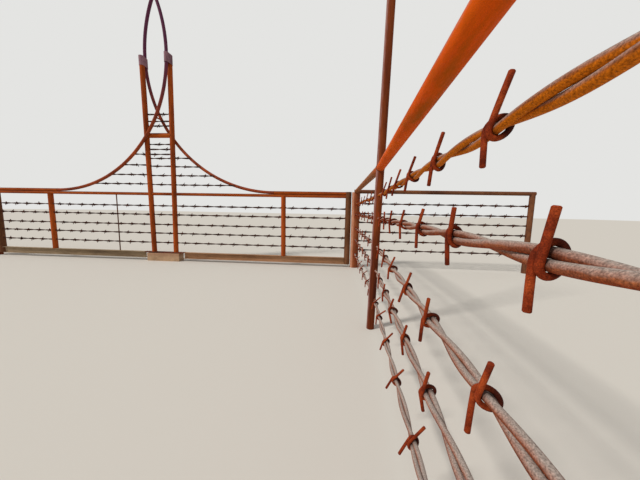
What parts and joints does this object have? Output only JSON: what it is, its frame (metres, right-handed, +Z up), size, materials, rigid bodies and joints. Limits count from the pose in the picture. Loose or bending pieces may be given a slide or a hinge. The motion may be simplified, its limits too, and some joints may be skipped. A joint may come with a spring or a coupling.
{
  "type": "pivoting ranch gateway",
  "caption": "Long rusted pipe gate that turns on a central pivot under a looped tower, with barbed bar strands, fence panels and a wing fence.",
  "frame": {"origin": "centre of the plinth's underside, on the pivot's axis at ground level", "axes": "+X along the gate towards the wing fence, +Y through the gateway away from the drive, +Z up"},
  "size_m": [17.9084, 6.7984, 6.6282],
  "materials": {
    "concrete": "rough, rust-stained",
    "socket_steel": "greased and rusted",
    "pipe_rust": "bare steel pipe, rusted all over",
    "dark_rust": "bare steel, dark rust",
    "beam_rust": "rolled steel, brown rust",
    "strand_rust": "round bar, rust over mill scale",
    "barb_rust": "bent round bar, red rust"
  },
  "bodies": {
    "root": {"plinth": "concrete", "pivot_socket": "socket_steel", "right_gate_post": "pipe_rust", "left_gate_post": "pipe_rust", "right_panel_rail": "pipe_rust", "right_panel_post": "pipe_rust", "right_panel_strands": "strand_rust", "right_panel_barbs": "barb_rust", "left_panel_rail": "pipe_rust", "left_panel_post": "pipe_rust", "left_panel_strands": "strand_rust", "left_panel_barbs": "barb_rust", "wing_rails": "pipe_rust", "wing_pole": "pipe_rust", "wing_end_post": "pipe_rust", "wing_strands_far": "strand_rust", "wing_strands_near": "strand_rust", "wing_barbs_far": "barb_rust", "wing_barbs_near": "barb_rust"},
    "gate": {"pivot_pin": "dark_rust", "foot_plate": "dark_rust", "left_beam": "beam_rust", "right_beam": "beam_rust", "left_tower_post": "pipe_rust", "right_tower_post": "pipe_rust", "tower_crossbar": "pipe_rust", "tower_collars": "dark_rust", "lower_rail": "pipe_rust", "upper_rails": "pipe_rust", "left_arch": "pipe_rust", "right_arch": "pipe_rust", "arch_ties": "pipe_rust", "left_mid_post": "pipe_rust", "right_mid_post": "pipe_rust", "left_end_stile": "dark_rust", "right_end_stile": "dark_rust", "left_stay": "dark_rust", "left_gate_strands": "strand_rust", "right_gate_strands": "strand_rust", "tower_strands": "strand_rust", "left_arch_strands": "strand_rust", "right_arch_strands": "strand_rust", "left_gate_barbs": "barb_rust", "right_gate_barbs": "barb_rust", "tower_barbs": "barb_rust"}
  },
  "joints": [
    {"name": "gate_pivot", "type": "hinge", "parent": "root", "child": "gate", "pos_m": [0, 0, 0.1], "axis": [0, 0, 1], "range_deg": [-90, 90]}
  ]
}
